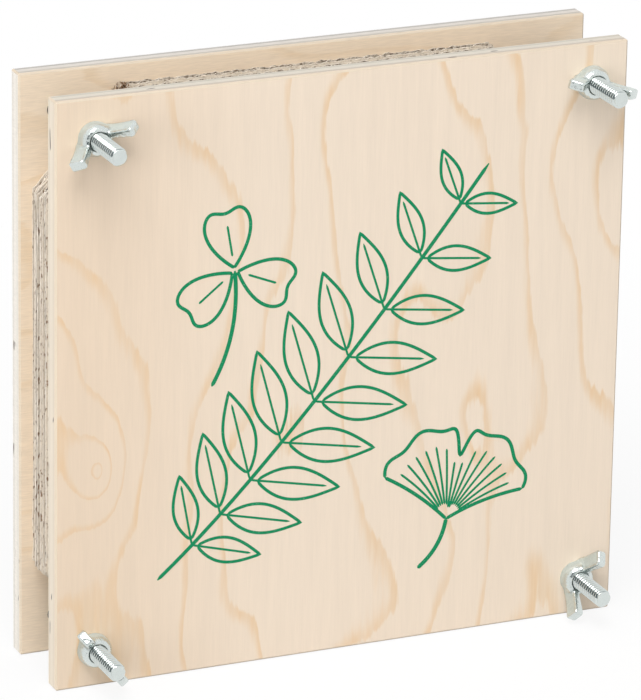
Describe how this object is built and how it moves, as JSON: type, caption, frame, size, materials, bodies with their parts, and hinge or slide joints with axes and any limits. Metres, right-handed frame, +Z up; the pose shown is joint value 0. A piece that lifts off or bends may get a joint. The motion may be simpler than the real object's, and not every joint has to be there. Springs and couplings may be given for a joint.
{
  "type": "leaf press",
  "caption": "Upright leaf press: two square plywood boards drawn together by carriage bolts and wing nuts over a stack of cut-cornered corrugated sheets and blotting papers.",
  "frame": {"origin": "middle of the rear board's lower edge, on the surface that the press stands on", "axes": "+Z up, the printed front faces -Y, and +X is to the right seen from the front"},
  "size_m": [0.26, 0.0846, 0.26],
  "materials": {
    "plywood": "sanded, bare",
    "bolt_steel": "bright zinc plated",
    "nut_steel": "bright zinc plated",
    "corrugated": "uncoated",
    "blotter": "uncoated"
  },
  "bodies": {
    "rear_frame": {"rear_board": "plywood", "bolt_top_left": "bolt_steel", "bolt_top_right": "bolt_steel", "bolt_bottom_left": "bolt_steel", "bolt_bottom_right": "bolt_steel"},
    "front_board": {"front_board": "plywood"},
    "wing_nut_top_left": {"wing_nut_top_left": "nut_steel"},
    "wing_nut_top_right": {"wing_nut_top_right": "nut_steel"},
    "wing_nut_bottom_left": {"wing_nut_bottom_left": "nut_steel"},
    "wing_nut_bottom_right": {"wing_nut_bottom_right": "nut_steel"},
    "corrugated_sheet_1": {"corrugated_sheet_1": "corrugated"},
    "blotter_1": {"blotter_1": "blotter"},
    "corrugated_sheet_2": {"corrugated_sheet_2": "corrugated"},
    "blotter_2": {"blotter_2": "blotter"},
    "corrugated_sheet_3": {"corrugated_sheet_3": "corrugated"},
    "blotter_3": {"blotter_3": "blotter"},
    "corrugated_sheet_4": {"corrugated_sheet_4": "corrugated"},
    "blotter_4": {"blotter_4": "blotter"},
    "corrugated_sheet_5": {"corrugated_sheet_5": "corrugated"},
    "blotter_5": {"blotter_5": "blotter"},
    "corrugated_sheet_6": {"corrugated_sheet_6": "corrugated"},
    "blotter_6": {"blotter_6": "blotter"},
    "corrugated_sheet_7": {"corrugated_sheet_7": "corrugated"}
  },
  "joints": [
    {"name": "front_board_slide", "type": "slide", "parent": "rear_frame", "child": "front_board", "axis": [0, -1, 0], "range_m": [0, 0.02]},
    {"name": "nut_top_left_turn", "type": "hinge", "parent": "front_board", "child": "wing_nut_top_left", "pos_m": [-0.113, -0.047, 0.243], "axis": [0, -1, 0], "range_deg": [0, 5760]},
    {"name": "nut_top_right_turn", "type": "hinge", "parent": "front_board", "child": "wing_nut_top_right", "pos_m": [0.113, -0.047, 0.243], "axis": [0, -1, 0], "range_deg": [0, 5760]},
    {"name": "nut_bottom_left_turn", "type": "hinge", "parent": "front_board", "child": "wing_nut_bottom_left", "pos_m": [-0.113, -0.047, 0.017], "axis": [0, -1, 0], "range_deg": [0, 5760]},
    {"name": "nut_bottom_right_turn", "type": "hinge", "parent": "front_board", "child": "wing_nut_bottom_right", "pos_m": [0.113, -0.047, 0.017], "axis": [0, -1, 0], "range_deg": [0, 5760]},
    {"name": "corrugated_sheet_1_slide", "type": "slide", "parent": "rear_frame", "child": "corrugated_sheet_1", "axis": [0, -1, 0], "range_m": [0, 0.00143]},
    {"name": "blotter_1_slide", "type": "slide", "parent": "rear_frame", "child": "blotter_1", "axis": [0, -1, 0], "range_m": [0, 0.00286]},
    {"name": "corrugated_sheet_2_slide", "type": "slide", "parent": "rear_frame", "child": "corrugated_sheet_2", "axis": [0, -1, 0], "range_m": [0, 0.00429]},
    {"name": "blotter_2_slide", "type": "slide", "parent": "rear_frame", "child": "blotter_2", "axis": [0, -1, 0], "range_m": [0, 0.00572]},
    {"name": "corrugated_sheet_3_slide", "type": "slide", "parent": "rear_frame", "child": "corrugated_sheet_3", "axis": [0, -1, 0], "range_m": [0, 0.00714]},
    {"name": "blotter_3_slide", "type": "slide", "parent": "rear_frame", "child": "blotter_3", "axis": [0, -1, 0], "range_m": [0, 0.00857]},
    {"name": "corrugated_sheet_4_slide", "type": "slide", "parent": "rear_frame", "child": "corrugated_sheet_4", "axis": [0, -1, 0], "range_m": [0, 0.01]},
    {"name": "blotter_4_slide", "type": "slide", "parent": "rear_frame", "child": "blotter_4", "axis": [0, -1, 0], "range_m": [0, 0.01143]},
    {"name": "corrugated_sheet_5_slide", "type": "slide", "parent": "rear_frame", "child": "corrugated_sheet_5", "axis": [0, -1, 0], "range_m": [0, 0.01286]},
    {"name": "blotter_5_slide", "type": "slide", "parent": "rear_frame", "child": "blotter_5", "axis": [0, -1, 0], "range_m": [0, 0.01429]},
    {"name": "corrugated_sheet_6_slide", "type": "slide", "parent": "rear_frame", "child": "corrugated_sheet_6", "axis": [0, -1, 0], "range_m": [0, 0.01572]},
    {"name": "blotter_6_slide", "type": "slide", "parent": "rear_frame", "child": "blotter_6", "axis": [0, -1, 0], "range_m": [0, 0.01714]},
    {"name": "corrugated_sheet_7_slide", "type": "slide", "parent": "rear_frame", "child": "corrugated_sheet_7", "axis": [0, -1, 0], "range_m": [0, 0.01857]}
  ],
  "couplings": [
    {"joint": "nut_top_left_turn", "follows": "front_board_slide", "rad_per_m": 5026.5},
    {"joint": "nut_top_right_turn", "follows": "front_board_slide", "rad_per_m": 5026.5},
    {"joint": "nut_bottom_left_turn", "follows": "front_board_slide", "rad_per_m": 5026.5},
    {"joint": "nut_bottom_right_turn", "follows": "front_board_slide", "rad_per_m": 5026.5},
    {"joint": "corrugated_sheet_1_slide", "follows": "front_board_slide", "ratio": 0.071429},
    {"joint": "blotter_1_slide", "follows": "front_board_slide", "ratio": 0.14286},
    {"joint": "corrugated_sheet_2_slide", "follows": "front_board_slide", "ratio": 0.21429},
    {"joint": "blotter_2_slide", "follows": "front_board_slide", "ratio": 0.28571},
    {"joint": "corrugated_sheet_3_slide", "follows": "front_board_slide", "ratio": 0.35714},
    {"joint": "blotter_3_slide", "follows": "front_board_slide", "ratio": 0.42857},
    {"joint": "corrugated_sheet_4_slide", "follows": "front_board_slide", "ratio": 0.5},
    {"joint": "blotter_4_slide", "follows": "front_board_slide", "ratio": 0.57143},
    {"joint": "corrugated_sheet_5_slide", "follows": "front_board_slide", "ratio": 0.64286},
    {"joint": "blotter_5_slide", "follows": "front_board_slide", "ratio": 0.71429},
    {"joint": "corrugated_sheet_6_slide", "follows": "front_board_slide", "ratio": 0.78571},
    {"joint": "blotter_6_slide", "follows": "front_board_slide", "ratio": 0.85714},
    {"joint": "corrugated_sheet_7_slide", "follows": "front_board_slide", "ratio": 0.92857}
  ]
}
